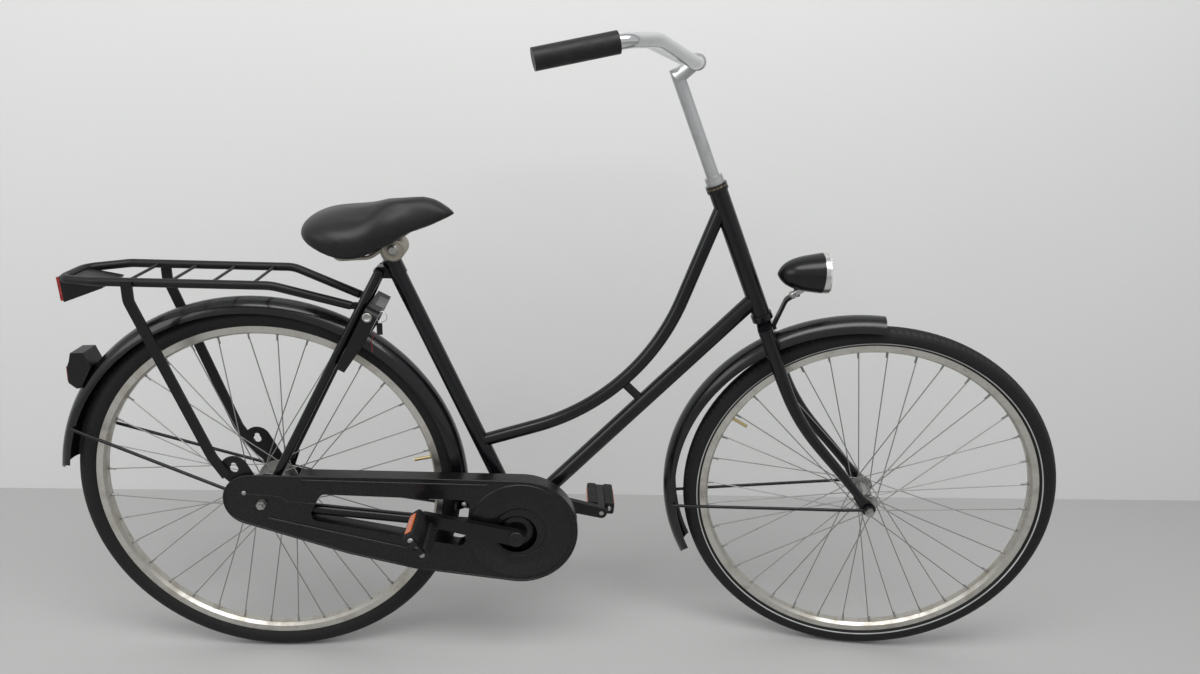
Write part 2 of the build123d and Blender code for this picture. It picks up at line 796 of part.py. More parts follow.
guard_centre = front_axle + Vector(-front_guard_back, 0, front_guard_rise)
front_drop_way = head(blade_bend_station) - front_axle
front_drop = dropout(
    front_axle, front_dropout_half, front_dropout_thickness, front_drop_way, front_dropout_reach,
    front_dropout_width,
)
front_drop_right = mirrored(front_drop)
blade_left = largest(blade(1) - front_drop)
blade_right = largest(blade(-1) - front_drop_right)
crown = (crown_block + steerer) - blade_left - blade_right - quill_room
crown = crown - cross_rod(guard_centre, 2 * blade_spread, front_guard_radius)
save("fork_crown", largest(crown), steering_rest)
save("fork_blades", together(blade_left, blade_right), steering_rest)
save("front_dropouts", together(front_drop, front_drop_right), steering_rest)

# Stem and handlebar

nut_top = head(steerer_top + headset_nut_height)
headset_nut = rod(head(steerer_top), nut_top, headset_nut_radius)
save("headset_nut", headset_nut - rod(head(crown_high), nut_top, stem_radius), steering_rest)
bar_centre = head(stem_station, stem_reach)
stem_tube = rod(head(crown_high + quill_gap), head(stem_station + stem_cap), stem_radius)
arm_root = head(stem_station - 2 * stem_shoulder) - ahead_axis * stem_root
stem_arm = cone(arm_root, bar_centre, stem_radius + stem_swell, stem_radius)
clamp_ring = cross_rod(bar_centre, bar_clamp_half, bar_radius + bar_clamp_wall)
bar_points = [bar_centre]
for back, out, lift in zip(bar_back, bar_out, bar_lift):
    bar_points.append(bar_centre + Vector(-back, -out, lift))
bar_half = bent(bar_points, bar_bends, bar_radius)
bar_room = bent(bar_points, bar_bends, bar_radius - bar_wall)
bar_outside = bar_half + mirrored(bar_half)
save("handlebar", largest(bar_outside - (bar_room + mirrored(bar_room))), bar_rest)
save("stem", largest(stem_tube + stem_arm + clamp_ring - bar_outside), bar_rest)
grip_way = (bar_points[-1] - bar_points[-2]).normalized()
grip_start = bar_points[-1] - grip_way * grip_length
grip = rod(grip_start, bar_points[-1] + grip_way * grip_end_wall, grip_radius)
grip = grip - rod(grip_start, bar_points[-1], bar_radius)
save("grip_right", grip, bar_rest)
save("grip_left", mirrored(grip), bar_rest)

# Headlamp

lamp_way = around(lamp_tilt)
lamp_face = head(crown_high + lamp_above_crown, lamp_ahead)
lamp_plane = Plane(origin=lamp_face, x_dir=(0, 1, 0), z_dir=lamp_way)
nose = [(lamp_radius * share, -lamp_length * back) for share, back in lamp_bullet]
bullet = make_face(Spline(*nose) + Polyline(nose[-1], (0, 0), nose[0]))
lamp_shell = lamp_plane * (Rot(90, 0, 0) * revolve(bullet, Axis.Y))
lamp_rim_end = lamp_face + lamp_way * lamp_ring
lens_start = lamp_face + lamp_way * lamp_rim
lens_radius = lamp_radius - lamp_rim
rim = rod(lamp_face, lamp_rim_end, lamp_radius) - rod(lens_start, lamp_rim_end, lens_radius)
save("headlamp_shell", lamp_shell + rim, steering_rest)
save("headlamp_lens", rod(lens_start, lamp_rim_end + lamp_way * lens_bulge, lens_radius), steering_rest)
strap_gap = crown_depth / 2 + lamp_strap_thickness / 2
lamp_under = lamp_face - lamp_way * (lamp_length / 2) - Vector(0, 0, lamp_radius)
strap_points = [
    head(crown_low + lamp_strap_width / 2, strap_gap),
    head(crown_high - lamp_strap_rise, strap_gap),
    head(crown_high + lamp_strap_knee[0], lamp_strap_knee[1]),
    lamp_under,
]
lamp_strap = strap(strap_points, lamp_strap_bends, lamp_strap_width, lamp_strap_thickness)
lamp_post_low = lamp_under - Vector(0, 0, lamp_strap_thickness)
lamp_post = rod(lamp_post_low, lamp_under + Vector(0, 0, lamp_radius / 2), lamp_post_radius)
save("lamp_bracket", largest(lamp_strap + lamp_post - lamp_shell - crown), steering_rest)

# Mudguards


def guard_section(radius):
    """A domed channel section in (radius, side) coordinates."""
    edge = radius - guard_depth
    inside = guard_half_width - guard_sheet
    outer = ThreePointArc((edge, -guard_half_width), (radius, 0), (edge, guard_half_width))
    inner = ThreePointArc((edge, inside), (radius - guard_sheet, 0), (edge, -inside))
    left_rim = Line((edge, guard_half_width), (edge, inside))
    right_rim = Line((edge, -inside), (edge, -guard_half_width))
    return make_face(outer + left_rim + inner + right_rim)


def guard(centre, radius, start, end):
    """A mudguard between two angles, its far end cut to a blunt point."""
    arch = revolve(guard_section(radius), Axis.Y, revolution_arc=end - start)
    sheet = Pos(*centre) * (Rot(0, -end, 0) * arch)
    tip = centre + around(end) * radius
    onward = around(end + 90)
    for side in (-1, 1):
        facing = onward * cos(radians(guard_point)) + sideways * side * sin(radians(guard_point))
        half = Box(4 * guard_half_width, 4 * guard_half_width, 2 * guard_half_width)
        corner = Plane(origin=tip, z_dir=facing) * (Pos(0, 0, guard_half_width) * half)
        sheet = sheet - corner
    return sheet


front_guard = guard(guard_centre, front_guard_radius, front_guard_start, front_guard_end)
save("front_mudguard", front_guard, steering_rest)
rear_guard_centre = rear_axle - Vector(rear_guard_back, 0, rear_guard_drop)
rear_guard = guard(rear_guard_centre, rear_guard_radius, rear_guard_start, rear_guard_end)
save("rear_mudguard", rear_guard)


def guard_stay(centre, radius, angle, hub_end, eye_inner):
    """A wire stay with a flat eye at the axle and a foot outside the mudguard's edge."""
    foot = centre + around(angle) * (radius - guard_depth + guard_stay_inset)
    foot = foot + sideways * (guard_half_width + guard_stay_radius)
    eye_outer = eye_inner + stay_eye_thickness
    root = hub_end + sideways * (eye_outer - guard_stay_radius - guard_stay_sink)
    level = Vector(foot.X - root.X, 0, foot.Z - root.Z).normalized()
    wire_points = [root + level * 2 * axle_radius, root + level * guard_stay_level, foot]
    wire = bent(wire_points, [guard_stay_bend], guard_stay_radius)
    eye = rod(hub_end + sideways * eye_inner, hub_end + sideways * eye_outer, stay_eye_radius)
    behind = rod(hub_end, hub_end + sideways * eye_inner, guard_stay_level)
    return wire + eye - cross_rod(hub_end, 2 * eye_outer, axle_radius) - behind


rear_stay = guard_stay(rear_guard_centre, rear_guard_radius, rear_stay_angle, rear_axle, hook_outer)
save("rear_mudguard_stays", pair(largest(rear_stay - rear_guard)))
front_stay = guard_stay(guard_centre, front_guard_radius, front_stay_angle, front_axle, front_plate)
save("front_mudguard_stays", pair(largest(front_stay - front_guard)), steering_rest)

# Carrier

rail_height = 2 * wheel_radius + rail_lift
foot_height = rail_height - rail_foot_drop
foot_share = (foot_height - seat_stay_points[1].Z) / (seat_stay_points[2].Z - seat_stay_points[1].Z)
rail_bolt = seat_stay_points[1] + (seat_stay_points[2] - seat_stay_points[1]) * foot_share
rail_foot = rail_bolt - Vector(rail_foot_back, 0, 0)
tab_face = hull((rail_foot.X, rail_foot.Z, rail_tab_radius), (rail_bolt.X, rail_bolt.Z, rail_tab_radius))
tab_half = rail_tab_thickness / 2
rail_tab = slab(tab_face, rail_bolt.Y - tab_half, rail_bolt.Y + tab_half)
half_rail = [
    rail_foot,
    Vector(rail_front, rail_half, rail_height),
    Vector(-rail_rear, rail_half, rail_height),
    Vector(-rail_back, rail_back_half, rail_height - rail_back_drop),
]
other_half = [Vector(point.X, -point.Y, point.Z) for point in reversed(half_rail)]
rail_loop = bent(half_rail + other_half, [*rail_bends, *reversed(rail_bends)], rail_radius)
carrier = rail_loop + rail_tab + mirrored(rail_tab) - seat_stay - mirrored(seat_stay)
for number in range(crossbar_count):
    along = crossbar_last - (crossbar_first + crossbar_last) * number / (crossbar_count - 1)
    carrier = carrier + cross_rod(Vector(along, 0, rail_height), rail_half, crossbar_radius)
save("carrier_rack", largest(carrier))

hook_axis = rear_axle + Vector(hook_centre[0], 0, hook_centre[1])
hook_face = hull((rear_axle.X, rear_axle.Z, hook_root_radius), (hook_axis.X, hook_axis.Z, hook_radius))
for drop, radius in hook_eye:
    hook_face = hook_face - Pos(hook_axis.X, hook_axis.Z + drop) * Circle(radius)
hook_plate = slab(hook_face, hook_inner, hook_outer) - cross_rod(rear_axle, 2 * hook_outer, axle_radius)
stay_side = rail_half + rail_radius + carrier_stay_thickness / 2
low_side = hook_outer + carrier_stay_thickness / 2
stay_along = carrier_stay_ahead - crossbar_first
stay_points = [
    Vector(stay_along, stay_side, rail_height + rail_radius / 2),
    Vector(stay_along, stay_side, rail_height - carrier_stay_drop),
    Vector(hook_axis.X - hook_radius - carrier_stay_lean, low_side, hook_axis.Z + hook_radius),
    Vector(hook_axis.X - hook_radius / 2, low_side, hook_axis.Z - hook_radius / 2),
]
carrier_stay = strap(stay_points, [carrier_stay_bend] * 2, carrier_stay_thickness, carrier_stay_width)
save("carrier_stays", pair(largest(carrier_stay - rail_loop - hook_plate)))
save("carrier_hook_plates", pair(hook_plate))

# Rear lights


def offset_face(anchor, points):
    return flat([(anchor.X + along, anchor.Z + up) for along, up in points])


rail_end = Vector(-rail_back, 0, rail_height - rail_back_drop)
reflector = slab(offset_face(rail_end, reflector_outline), -reflector_half, reflector_half)
save("carrier_reflector_housing", largest(reflector - rail_loop))
lens_half = reflector_half - reflector_lens_rim
reflector_lens = slab(offset_face(rail_end, reflector_lens_outline), -lens_half, lens_half)
save("carrier_reflector_lens", largest(reflector_lens - rail_loop))
lamp_anchor = rear_guard_centre + around(tail_lamp_angle) * rear_guard_radius
tail_lamp = slab(offset_face(lamp_anchor, tail_lamp_outline), -tail_lamp_half, tail_lamp_half)
tail_lens = slab(offset_face(lamp_anchor, tail_lens_outline), -tail_lens_half, tail_lens_half)
save("tail_lamp_housing", largest(tail_lamp - rear_guard))
save("tail_lamp_lens", tail_lens)

# Ring lock

lock_inner = guard_half_width + lock_inner_gap
lock_outer = lock_inner + lock_band
lock_back = seat_stay_radius + lock_stay_gap
lock_centre = rear_axle + stay_way * (wheel_radius + lock_station_gap) + stay_ahead * lock_back
shoe = Pos(0, (lock_outer - lock_leg) / 2) * Rectangle(2 * lock_outer, lock_outer + lock_leg)
shoe = fillet(shoe.vertices().group_by(Axis.Y)[-1], lock_round)
shoe = shoe - Circle(lock_inner) - Pos(0, -lock_leg) * Rectangle(2 * lock_inner, 2 * lock_leg)
shoe_plane = Plane(origin=lock_centre, x_dir=(0, 1, 0), z_dir=stay_ahead)
wedge = flat([
    (-lock_leg, 0),
    (lock_outer, 0),
    (lock_outer, lock_top_depth),
    (0, lock_top_depth),
    (-lock_leg, lock_low_depth),
])
wedge_plane = Plane(origin=lock_centre, x_dir=stay_way, z_dir=(0, 1, 0))
ring_lock = extrude(shoe_plane * shoe, lock_top_depth) & extrude(wedge_plane * wedge, lock_outer, both=True)
save("ring_lock", largest(ring_lock))
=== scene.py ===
import bmesh
import bpy
import json
from math import cos, pi, radians, sin
from mathutils import Matrix, Vector


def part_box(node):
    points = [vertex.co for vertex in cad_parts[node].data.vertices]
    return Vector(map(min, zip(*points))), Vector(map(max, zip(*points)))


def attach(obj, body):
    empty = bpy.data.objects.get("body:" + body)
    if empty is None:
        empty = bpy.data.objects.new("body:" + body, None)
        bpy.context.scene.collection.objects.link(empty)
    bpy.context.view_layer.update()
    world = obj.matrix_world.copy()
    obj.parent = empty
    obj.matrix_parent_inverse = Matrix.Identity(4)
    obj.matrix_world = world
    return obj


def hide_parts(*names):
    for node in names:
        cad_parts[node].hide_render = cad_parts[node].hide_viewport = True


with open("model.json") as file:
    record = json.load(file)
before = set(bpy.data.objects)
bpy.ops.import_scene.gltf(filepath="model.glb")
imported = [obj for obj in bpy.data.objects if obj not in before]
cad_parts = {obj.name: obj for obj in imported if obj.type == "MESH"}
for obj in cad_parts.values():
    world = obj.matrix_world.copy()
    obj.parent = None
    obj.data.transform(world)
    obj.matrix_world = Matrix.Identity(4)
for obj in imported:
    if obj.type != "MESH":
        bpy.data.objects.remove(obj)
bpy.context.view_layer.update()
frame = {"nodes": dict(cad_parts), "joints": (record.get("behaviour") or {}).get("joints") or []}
nodes = frame["nodes"]
joints = {joint["name"]: joint for joint in frame["joints"]}
scene = bpy.context.scene
print("loaded", len(nodes), "nodes")

# Places that the pieces are set out from, all read from the frame


def middle(node):
    low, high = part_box(node)
    return (low + high) / 2


rearHub = middle("rear_tyre")
crankHub = middle("bottom_bracket_shell")
frontHub = Vector(joints["front_wheel_spin"]["pos_m"])
frontSpin = Vector(joints["front_wheel_spin"]["axis"])
steerUp = Vector(joints["steering"]["axis"])
acrossLeft = Vector((0, 1, 0))
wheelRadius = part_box("rear_tyre")[1].z - rearHub.z
groundHeight = rearHub.z - wheelRadius
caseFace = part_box("chain_case")[0].y


# Shader building


class Wire:
    def __init__(self, graph, socket):
        self.graph = graph
        self.socket = socket

    def math(self, kind, *others):
        values = dict(enumerate((self, *others)))
        return self.graph.node("ShaderNodeMath", {"operation": kind}, values)

    def __add__(self, other):
        return self.math("ADD", other)

    def __radd__(self, other):
        return self.math("ADD", other)

    def __sub__(self, other):
        return self.math("SUBTRACT", other)

    def __rsub__(self, other):
        return self.graph.node("ShaderNodeMath", {"operation": "SUBTRACT"}, {0: other, 1: self})

    def __mul__(self, other):
        return self.math("MULTIPLY", other)

    def __rmul__(self, other):
        return self.math("MULTIPLY", other)

    def __truediv__(self, other):
        return self.math("DIVIDE", other)

    def __gt__(self, other):
        return self.math("GREATER_THAN", other)

    def sine(self):
        return self.math("SINE")

    def size(self):
        return self.math("ABSOLUTE")

    def step(self, low, high):
        inputs = {"Value": self, "From Min": low, "From Max": high}
        return self.graph.node("ShaderNodeMapRange", {"interpolation_type": "SMOOTHSTEP"}, inputs)

    def band(self, centre, half, soft):
        return 1 - (self - centre).size().step(half, half + soft)


class Graph:
    def __init__(self, name):
        self.material = bpy.data.materials.new(name)
        self.material.use_nodes = True
        self.tree = self.material.node_tree
        self.shader = self.tree.nodes["Principled BSDF"]

    def put(self, target, value):
        if isinstance(value, Wire):
            self.tree.links.new(value.socket, target)
        elif isinstance(value, (tuple, Vector)) and target.type == "RGBA":
            target.default_value = (*value, 1)
        else:
            target.default_value = value

    def node(self, kind, settings=None, inputs=None, output=0):
        made = self.tree.nodes.new(kind)
        for key, value in (settings or {}).items():
            setattr(made, key, value)
        for key, value in (inputs or {}).items():
            self.put(made.inputs[key], value)
        return Wire(self, made.outputs[output])

    def set(self, **values):
        for key, value in values.items():
            self.put(self.shader.inputs[key.replace("_", " ")], value)
        return self.material

    def mix(self, factor, first, second):
        inputs = {0: factor, 6: first, 7: second}
        return self.node("ShaderNodeMix", {"data_type": "RGBA"}, inputs, 2)

    def place(self):
        return self.node("ShaderNodeTexCoord", output=3)

    def vector(self, kind, *values, output=0):
        inputs = dict(enumerate(values))
        return self.node("ShaderNodeVectorMath", {"operation": kind}, inputs, output)

    def dot(self, first, second):
        return self.vector("DOT_PRODUCT", first, second, output=1)

    def noise(self, scale, detail=3.0, where=None, roughness=0.55):
        inputs = {
            "Vector": where or self.place(), "Scale": scale,
            "Detail": detail, "Roughness": roughness,
        }
        return self.node("ShaderNodeTexNoise", None, inputs)

    def cells(self, scale, where=None, feature="F1"):
        inputs = {"Vector": where or self.place(), "Scale": scale}
        return self.node("ShaderNodeTexVoronoi", {"feature": feature}, inputs)

    def upward(self):
        normal = self.node("ShaderNodeNewGeometry", output=1)
        return self.dot(normal, Vector((0, 0, 1)))

    def bump(self, height, depth, strength=1.0):
        inputs = {"Height": height, "Distance": depth, "Strength": strength}
        return self.node("ShaderNodeBump", None, inputs)

    def polar(self, centre, axis):
        # angle in turns, distance from the axle and distance along it, all in metres
        out = self.vector("SUBTRACT", self.place(), centre)
        ahead = axis.orthogonal().normalized()
        up = axis.cross(ahead)
        first, second = self.dot(out, ahead), self.dot(out, up)
        side = self.dot(out, axis)
        angle = first.math("ARCTAN2", second) / (2 * pi)
        reach = (first * first + second * second).math("SQRT")
        return angle, reach, side


print("shader tools ready")

enamelLook = {
    "colour": (0.0030, 0.0030, 0.0040),
    "faded": (0.0065, 0.0065, 0.0075),
    "dust": (0.045, 0.043, 0.040),
    "dustShare": 0.07,
    "chip": (0.085, 0.034, 0.014),
    "roughness": 0.22,
    "smudge": 0.14,
    "coat": 0.12,
    "gloss": 0.30,
    "wideScale": 7.0,
    "fineScale": 85.0,
    "chipScale": 150.0,
    "chipPatch": 11.0,
    "peelScale": 420.0,
    "peelDepth": 0.00006,
}
caseLook = {**enamelLook, "colour": (0.0034, 0.0034, 0.0038), "roughness": 0.27, "dustShare": 0.10}
guardLook = {**enamelLook, "roughness": 0.20, "coat": 0.20, "gloss": 0.36}
satinLook = {**enamelLook, "colour": (0.0045, 0.0045, 0.0050), "roughness": 0.38, "coat": 0.0}


def paint(name, look):
    graph = Graph(name)
    wide = graph.noise(look["wideScale"], 4.0)
    fine = graph.noise(look["fineScale"], 5.0)
    dust = graph.upward().step(0.35, 0.95) * wide.step(0.35, 0.7) * look["dustShare"]
    chips = graph.noise(look["chipScale"], 6.0, roughness=0.7).step(0.735, 0.755)
    chips = chips * graph.noise(look["chipPatch"]).step(0.52, 0.6)
    colour = graph.mix(wide.step(0.35, 0.75) * fine, look["colour"], look["faded"])
    colour = graph.mix(dust, colour, look["dust"])
    colour = graph.mix(chips, colour, look["chip"])
    rough = look["roughness"] + look["smudge"] * fine.step(0.4, 0.8) * wide
    rough = rough + dust * 1.5 + chips * 0.5
    height = graph.noise(look["peelScale"], 2.0) * 0.5 - chips
    return graph.set(
        Base_Color=colour, Roughness=rough, Coat_Weight=look["coat"], Coat_Roughness=0.10,
        Specular_IOR_Level=look["gloss"], Normal=graph.bump(height, look["peelDepth"], 0.5),
    )


# a lower pitting number puts more rust spots through the plate
chromeLook = {
    "colour": (0.66, 0.66, 0.67), "pit": (0.22, 0.13, 0.07), "roughness": 0.10, "smudge": 0.20,
    "pitting": 0.70, "smudgeScale": 24.0, "pitScale": 320.0, "pitPatch": 16.0,
}
zincLook = {
    **chromeLook, "colour": (0.40, 0.395, 0.38), "pit": (0.20, 0.11, 0.06),
    "roughness": 0.30, "smudge": 0.25, "pitting": 0.62,
}
spokeLook = {
    **chromeLook, "colour": (0.33, 0.33, 0.325), "pit": (0.16, 0.10, 0.06),
    "roughness": 0.34, "smudge": 0.2, "pitting": 0.64,
}
rustyLook = {
    **chromeLook, "colour": (0.36, 0.33, 0.28), "pit": (0.17, 0.075, 0.03),
    "roughness": 0.42, "smudge": 0.25, "pitting": 0.54,
}
brassLook = {
    **chromeLook, "colour": (0.55, 0.44, 0.24), "pit": (0.20, 0.12, 0.05),
    "roughness": 0.34, "smudge": 0.2, "pitting": 0.62,
}


def plated(name, look):
    graph = Graph(name)
    smudge = graph.noise(look["smudgeScale"], 5.0)
    pits = graph.noise(look["pitScale"], 5.0, roughness=0.65)
    pits = pits.step(look["pitting"], look["pitting"] + 0.03)
    pits = pits * graph.noise(look["pitPatch"]).step(0.48, 0.62)
    darker = tuple(value * 0.7 for value in look["colour"])
    colour = graph.mix(pits, look["colour"], look["pit"])
    colour = graph.mix(smudge.step(0.5, 0.8) * 0.3, colour, darker)
    rough = look["roughness"] + look["smudge"] * smudge.step(0.4, 0.75) + pits * 0.5
    return graph.set(
        Base_Color=colour, Metallic=1 - pits * 0.9, Roughness=rough,
        Normal=graph.bump(graph.noise(600.0) - pits, 0.00004, 0.4),
    )


alloyLook = {
    "colour": (0.50, 0.505, 0.51),
    "stain": (0.34, 0.33, 0.31),
    "roughness": 0.36,
    "brushScale": 900.0,
    "ringScale": 5200,
    "stainScale": 36.0,
}


def satinAlloy(name, look, axis):
    graph = Graph(name)
    spot = graph.place()
    along = graph.dot(spot, axis)
    brushed = graph.noise(look["brushScale"], 2.0)
    rings = (along * look["ringScale"] + graph.noise(40.0) * 6).sine() * 0.5 + 0.5
    blotch = graph.noise(look["stainScale"], 5.0).step(0.5, 0.72)
    rough = look["roughness"] + brushed * 0.14 + blotch * 0.1
    colour = graph.mix(blotch * 0.55, look["colour"], look["stain"])
    return graph.set(
        Base_Color=colour, Metallic=0.92, Roughness=rough,
        Normal=graph.bump(brushed + rings * 0.3, 0.00005, 0.35),
    )


rimLook = {
    "colour": (0.60, 0.585, 0.54),
    "grime": (0.33, 0.30, 0.25),
    "rust": (0.24, 0.11, 0.045),
    "roughness": 0.33,
    "inner": 0.300,
    "edgeWidth": 0.006,
    "grimeScale": 30.0,
    "rustScale": 240.0,
    "turnedLines": 14000,
}


def rimMetal(name, look, centre, axis):
    graph = Graph(name)
    reach = graph.polar(centre, axis)[1]
    grime = graph.noise(look["grimeScale"], 6.0).step(0.42, 0.72)
    edge = 1 - (reach - look["inner"]).step(0.0, look["edgeWidth"])
    rust = graph.noise(look["rustScale"], 6.0, roughness=0.7).step(0.60, 0.66)
    rust = rust * (graph.noise(18.0, 3.0).step(0.46, 0.62) + edge * 0.35)
    colour = graph.mix(grime * 0.45 + edge * 0.2, look["colour"], look["grime"])
    colour = graph.mix(rust.math("MINIMUM", 1.0), colour, look["rust"])
    rough = look["roughness"] + grime * 0.2 + rust * 0.4
    ringed = (reach * look["turnedLines"]).sine()
    return graph.set(
        Base_Color=colour, Metallic=1 - rust * 0.85, Roughness=rough,
        Normal=graph.bump(ringed * 0.2 + graph.noise(500.0) - rust * 0.8, 0.00006, 0.5),
    )


tyreLook = {
    "colour": (0.0060, 0.0060, 0.0065),
    "dusty": (0.028, 0.027, 0.025),
    "line": (0.50, 0.51, 0.50),
    "roughness": 0.62,
    "blocks": 168,
    "crown": (0.0075, 0.0055),
    "grooves": ((0.0, 0.0011), (0.0068, 0.0009)),
    "slant": 260,
    "ribs": ((0.0305, 0.0007, 0.0004), (0.0125, 0.0006, 0.0005)),
    "serrated": (0.0215, 0.0022, 0.0012),
    "teeth": 720,
    "stripe": (0.0272, 0.0007, 0.0005),
    "treadDepth": 0.0013,
}


def tyreRubber(name, look, centre, axis, lined):
    graph = Graph(name)
    angle, reach, side = graph.polar(centre, axis)
    crown = reach.step(*(wheelRadius - depth for depth in look["crown"]))
    centreGroove, sideGroove = (side.size().band(*place, 0.0006) for place in look["grooves"])
    slant = side.size() * look["slant"] + angle * look["blocks"] * 2 * pi
    cut = slant.sine().step(0.72, 0.92) * side.size().step(0.0016, 0.0026)
    fineCut = (angle * look["blocks"] * 4 * pi).sine().step(0.6, 0.9)
    fineCut = fineCut * side.size().band(0.0, 0.004, 0.001)
    tread = crown * (centreGroove + sideGroove + cut + fineCut * 0.5).math("MINIMUM", 1.0)

    def ringAt(depth, half, soft):
        return reach.band(wheelRadius - depth, half, soft)

    ribs = ringAt(*look["ribs"][0]) + ringAt(*look["ribs"][1])
    serrated = (angle * look["teeth"] * pi).sine() * ringAt(*look["serrated"])
    worn = graph.noise(22.0, 5.0).step(0.35, 0.75)
    colour = graph.mix(crown * (1 - tread) * (0.35 + worn * 0.4), look["colour"], look["dusty"])
    colour = graph.mix(worn * 0.14, colour, look["dusty"])
    stripe = ringAt(*look["stripe"]) * (0.7 + worn * 0.3) * lined
    colour = graph.mix(stripe, colour, look["line"])
    height = ribs * 0.5 + serrated * 0.12 - tread + graph.noise(700.0) * 0.06
    return graph.set(
        Base_Color=colour, Roughness=look["roughness"] + worn * 0.2 - stripe * 0.25,
        Specular_IOR_Level=0.3,
        Normal=graph.bump(height, look["treadDepth"], 0.9),
    )


rubberLook = {
    "colour": (0.0060, 0.0060, 0.0065), "worn": (0.017, 0.0165, 0.0165), "roughness": 0.44,
    "pitch": 0.0026, "depth": 0.00025,
}
treadLook = {**rubberLook, "roughness": 0.56, "pitch": 0.009, "depth": 0.0016}


def ribbedRubber(name, look, axis):
    graph = Graph(name)
    along = graph.dot(graph.place(), axis)
    ribs = (along * (2 * pi / look["pitch"])).sine().step(-0.3, 0.6)
    worn = graph.noise(48.0, 5.0).step(0.4, 0.75)
    colour = graph.mix(worn * 0.6, look["colour"], look["worn"])
    height = ribs + graph.noise(900.0) * 0.1
    return graph.set(
        Base_Color=colour, Roughness=look["roughness"] + worn * 0.18, Specular_IOR_Level=0.35,
        Normal=graph.bump(height, look["depth"], 0.8),
    )


plasticLook = {
    "colour": (0.0045, 0.0045, 0.0052), "scuffed": (0.018, 0.018, 0.018), "roughness": 0.24,
}
greyLook = {"colour": (0.13, 0.13, 0.135), "scuffed": (0.2, 0.2, 0.2), "roughness": 0.4}


def plastic(name, look):
    graph = Graph(name)
    scuffs = graph.noise(60.0, 6.0, roughness=0.7).step(0.55, 0.8)
    colour = graph.mix(scuffs * 0.5, look["colour"], look["scuffed"])
    return graph.set(
        Base_Color=colour, Roughness=look["roughness"] + scuffs * 0.22, Specular_IOR_Level=0.35,
        Normal=graph.bump(graph.noise(800.0), 0.00003, 0.4),
    )


lensLook = {
    "colour": (0.46, 0.008, 0.006), "deep": (0.20, 0.002, 0.002), "roughness": 0.12, "cell": 330.0,
}
amberLook = {
    "colour": (0.85, 0.20, 0.012), "deep": (0.50, 0.07, 0.004), "roughness": 0.15, "cell": 420.0,
}


def prismLens(name, look):
    graph = Graph(name)
    cells = graph.cells(look["cell"])
    colour = graph.mix(cells.step(0.1, 0.7), look["colour"], look["deep"])
    return graph.set(
        Base_Color=colour, Roughness=look["roughness"] + graph.noise(90.0) * 0.1, Coat_Weight=0.9,
        Normal=graph.bump(cells, 0.0006, 0.7), Transmission_Weight=0.12,
    )


print("material makers ready")

black = paint("frameEnamel", enamelLook)
caseBlack = paint("caseEnamel", caseLook)
guardBlack = paint("guardEnamel", guardLook)
satinBlack = paint("satinEnamel", satinLook)
chrome = plated("chromePlate", chromeLook)
zinc = plated("zincSteel", zincLook)
spokeSteel = plated("spokeSteel", spokeLook)
rusty = plated("rustySteel", rustyLook)
brass = plated("oldBrass", brassLook)
alloy = satinAlloy("stemAlloy", alloyLook, steerUp)
grip = ribbedRubber("gripRubber", rubberLook, Vector((1, 0, 0)))
treadRubber = ribbedRubber("pedalRubber", treadLook, acrossLeft)
dullPlastic = plastic("dullPlastic", {**plasticLook, "roughness": 0.36})
greyPlastic = plastic("greyPlastic", greyLook)
redLens = prismLens("redLens", lensLook)
amberLens = prismLens("amberLens", amberLook)
rearRimMetal = rimMetal("rearRimSteel", rimLook, rearHub, acrossLeft)
frontRimMetal = rimMetal("frontRimSteel", rimLook, frontHub, frontSpin)
rearTyreRubber = tyreRubber("rearTyreRubber", tyreLook, rearHub, acrossLeft, 0.0)
frontTyreRubber = tyreRubber("frontTyreRubber", tyreLook, frontHub, frontSpin, 1.0)

lampWay = (middle("headlamp_lens") - middle("headlamp_shell")).normalized()
lampLook = {
    "colour": (0.0045, 0.0045, 0.0055),
    "ring": (0.66, 0.65, 0.64),
    "ringStart": -0.0095,
    "roughness": 0.24,
    "glass": (0.72, 0.74, 0.75),
    "fluteShade": (0.50, 0.52, 0.53),
    "flutes": 1400,
    "fluteDepth": 0.0008,
}


def lampShell(look):
    # the bullet is black plastic and its front ring is plated
    graph = Graph("lampShell")
    spot = graph.vector("SUBTRACT", graph.place(), middle("headlamp_lens"))
    ring = graph.dot(spot, lampWay) > look["ringStart"]
    scuffs = graph.noise(60.0, 6.0).step(0.55, 0.8)
    colour = graph.mix(ring, look["colour"], look["ring"])
    rough = look["roughness"] + scuffs * 0.12
    return graph.set(Base_Color=colour, Metallic=ring, Roughness=rough, Specular_IOR_Level=0.35)


def lampGlass(look):
    graph = Graph("lampGlass")
    spot = graph.vector("SUBTRACT", graph.place(), middle("headlamp_lens"))
    side = graph.dot(spot, acrossLeft)
    flutes = (side * look["flutes"]).sine() * 0.5 + 0.5
    colour = graph.mix(flutes, look["glass"], look["fluteShade"])
    rough = 0.10 + graph.noise(70.0) * 0.12
    return graph.set(
        Base_Color=colour, Metallic=0.55, Roughness=rough, Coat_Weight=1.0,
        Normal=graph.bump(flutes, look["fluteDepth"], 0.6),
    )


